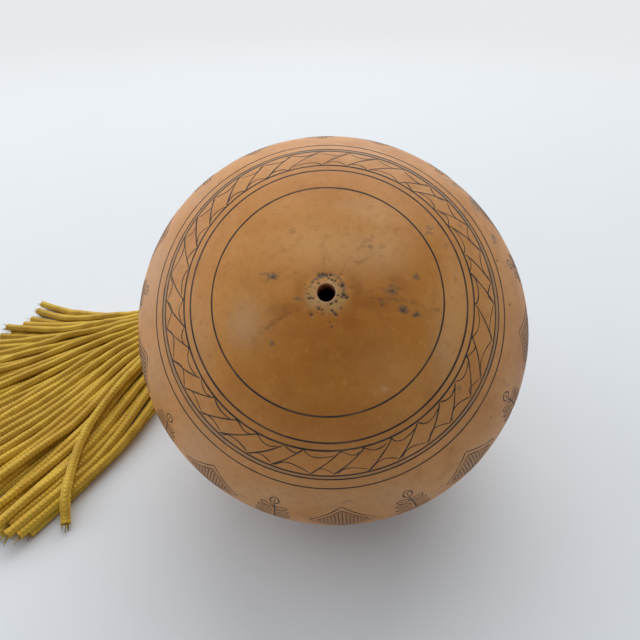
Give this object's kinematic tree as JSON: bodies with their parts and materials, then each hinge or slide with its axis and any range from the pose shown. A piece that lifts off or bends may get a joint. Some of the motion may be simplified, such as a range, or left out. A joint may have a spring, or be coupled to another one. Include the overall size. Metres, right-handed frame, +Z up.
{
  "type": "engraved gourd ornament",
  "caption": "Round dried gourd engraved with ring lines and a slanted border band, with a small hole at its blossom end and a soft tassel on a cord from its stem end.",
  "frame": {"origin": "middle of the small flat on the gourd's belly that it lies on", "axes": "+Z up, -Y to the front, where the blossom hole faces up and forward; the tassel lies to the left, towards -X"},
  "size_m": [0.148, 0.0994, 0.0759],
  "materials": {
    "shell": "dried gourd skin, tan to brown, lightly polished, lines cut in and filled with black",
    "cord": "twisted golden cord",
    "tassel": "golden-yellow chainette with a soft sheen",
    "binding": "wound golden thread"
  },
  "bodies": {
    "gourd": {"gourd_shell": "shell", "stop_knot": "cord", "cord_root": "cord"},
    "cord": {"hanger_cord": "cord"},
    "tassel": {"tassel_head": "tassel", "neck_binding": "binding", "strand_01": "tassel", "strand_02": "tassel", "strand_03": "tassel", "strand_04": "tassel", "strand_05": "tassel", "strand_06": "tassel", "strand_07": "tassel", "strand_08": "tassel", "strand_09": "tassel", "strand_10": "tassel", "strand_11": "tassel", "strand_12": "tassel", "strand_13": "tassel", "strand_14": "tassel", "strand_15": "tassel", "strand_16": "tassel", "strand_17": "tassel", "strand_18": "tassel", "strand_19": "tassel", "strand_20": "tassel", "strand_21": "tassel", "strand_22": "tassel", "strand_23": "tassel", "strand_24": "tassel", "strand_25": "tassel", "strand_26": "tassel", "strand_27": "tassel", "strand_28": "tassel", "strand_29": "tassel", "strand_30": "tassel", "strand_31": "tassel", "strand_32": "tassel", "strand_33": "tassel", "strand_34": "tassel", "strand_35": "tassel", "strand_36": "tassel", "strand_37": "tassel", "strand_38": "tassel", "strand_39": "tassel", "strand_40": "tassel", "strand_41": "tassel", "strand_42": "tassel", "strand_43": "tassel", "strand_44": "tassel", "strand_45": "tassel", "strand_46": "tassel", "strand_47": "tassel", "strand_48": "tassel", "strand_49": "tassel", "strand_50": "tassel", "strand_51": "tassel", "strand_52": "tassel", "strand_53": "tassel", "strand_54": "tassel"}
  },
  "joints": [
    {"name": "tassel_sweep", "type": "hinge", "parent": "gourd", "child": "cord", "pos_m": [0, 0.02732, 0.00825], "axis": [0, 0, -1], "range_deg": [-8, 120]},
    {"name": "tassel_lift", "type": "hinge", "parent": "cord", "child": "tassel", "pos_m": [-0.02377, 0.05639, 0.0066], "axis": [-0.5299, 0.848, 0], "range_deg": [0, 30]}
  ]
}
